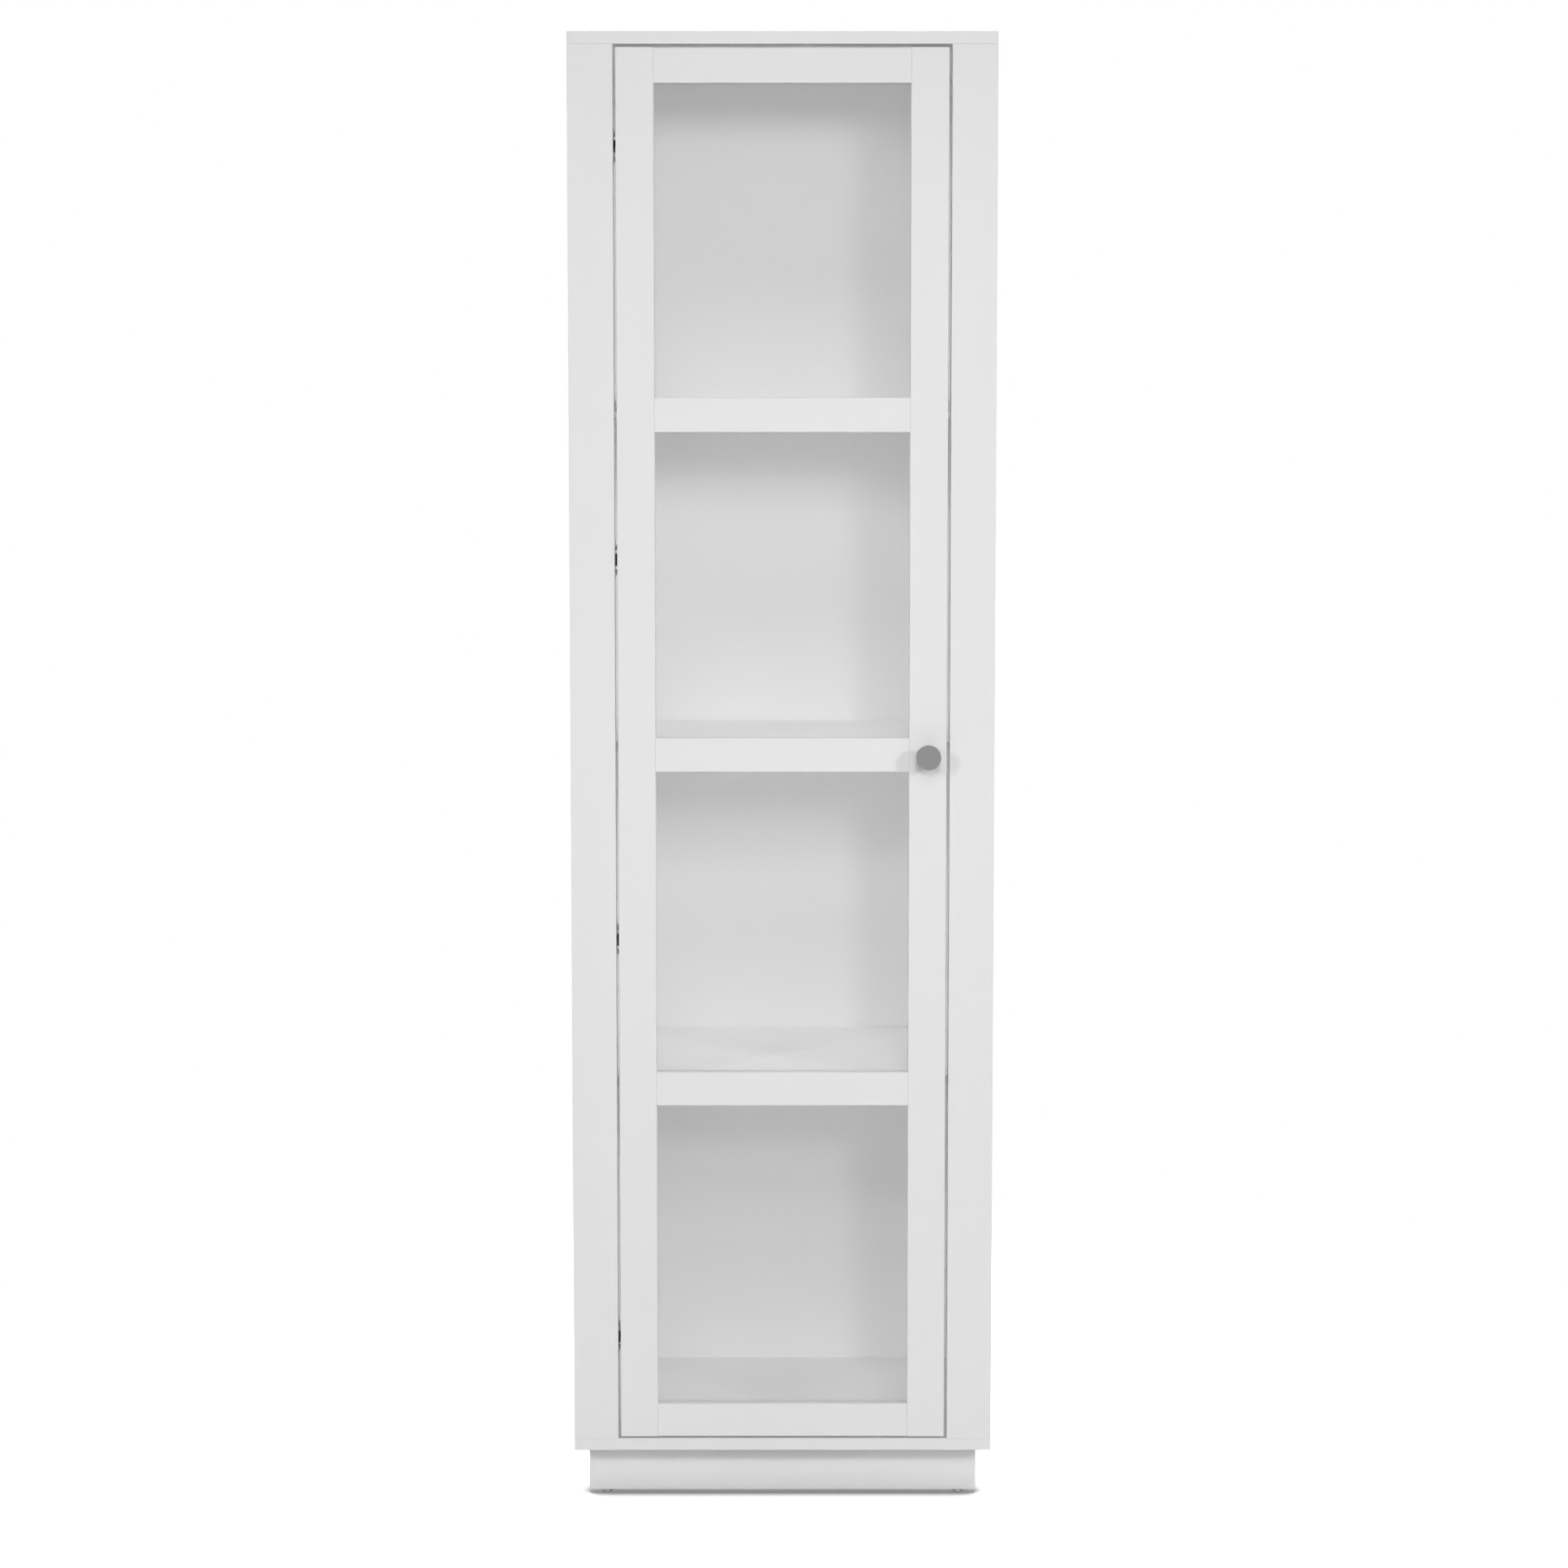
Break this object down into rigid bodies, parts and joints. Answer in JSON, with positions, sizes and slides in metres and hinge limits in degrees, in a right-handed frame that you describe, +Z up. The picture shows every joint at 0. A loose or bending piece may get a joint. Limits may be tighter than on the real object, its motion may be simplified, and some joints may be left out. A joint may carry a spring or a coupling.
{
  "type": "display cabinet",
  "caption": "Tall narrow white display cabinet with an inset glazed door on concealed hinges, adjustable shelves, a round knob and a recessed plinth.",
  "frame": {"origin": "on the floor, under the middle of the whole outline, knob included", "axes": "+X to the viewer's right across the front, +Y from front to back, +Z up; the door and knob face -Y"},
  "size_m": [0.546, 0.426, 1.9],
  "materials": {
    "white_paint": "satin white paint on board",
    "back_board": "smooth white-faced thin board",
    "glass": "clear float glass",
    "knob_metal": "matt satin nickel",
    "hinge_nickel": "nickel-plated pressed steel",
    "screw_steel": "zinc-plated steel",
    "dowel_beech": "bare beech",
    "glide_plastic": "pale hard plastic",
    "bumper_silicone": "soft translucent silicone"
  },
  "bodies": {
    "carcass": {"top_panel": "white_paint", "bottom_panel": "white_paint", "side_panel_left": "white_paint", "side_panel_right": "white_paint", "front_stile_left": "white_paint", "front_stile_right": "white_paint", "back_panel": "back_board", "shelf_lower": "white_paint", "shelf_middle": "white_paint", "shelf_upper": "white_paint", "shelf_supports": "hinge_nickel", "carcass_dowels": "dowel_beech", "plinth_front": "white_paint", "plinth_back": "white_paint", "plinth_side_left": "white_paint", "plinth_side_right": "white_paint", "plinth_corner_blocks": "dowel_beech", "plinth_screws": "screw_steel", "glides": "glide_plastic", "hinge_blocks": "white_paint", "hinge_plates": "hinge_nickel", "hinge_plate_screws": "screw_steel", "hinge_arm_1": "hinge_nickel", "hinge_arm_2": "hinge_nickel", "hinge_arm_3": "hinge_nickel", "hinge_arm_4": "hinge_nickel", "hinge_arm_screws": "screw_steel", "door_bumpers": "bumper_silicone"},
    "door": {"door_stile_hinge": "white_paint", "door_stile_knob": "white_paint", "door_rail_1": "white_paint", "door_rail_2": "white_paint", "door_rail_3": "white_paint", "door_rail_4": "white_paint", "door_rail_5": "white_paint", "door_dowels": "dowel_beech", "glass_pane_1": "glass", "glass_pane_2": "glass", "glass_pane_3": "glass", "glass_pane_4": "glass", "glazing_beads_1": "white_paint", "glazing_beads_2": "white_paint", "glazing_beads_3": "white_paint", "glazing_beads_4": "white_paint", "hinge_cup_1": "hinge_nickel", "hinge_cup_2": "hinge_nickel", "hinge_cup_3": "hinge_nickel", "hinge_cup_4": "hinge_nickel", "hinge_cup_screws": "screw_steel", "hinge_pins": "screw_steel", "knob": "knob_metal", "knob_screw": "screw_steel"}
  },
  "joints": [
    {"name": "door_swing", "type": "hinge", "parent": "carcass", "child": "door", "pos_m": [-0.2042, -0.1794, 0.9826], "axis": [0, 0, -1], "range_deg": [0, 105]}
  ]
}
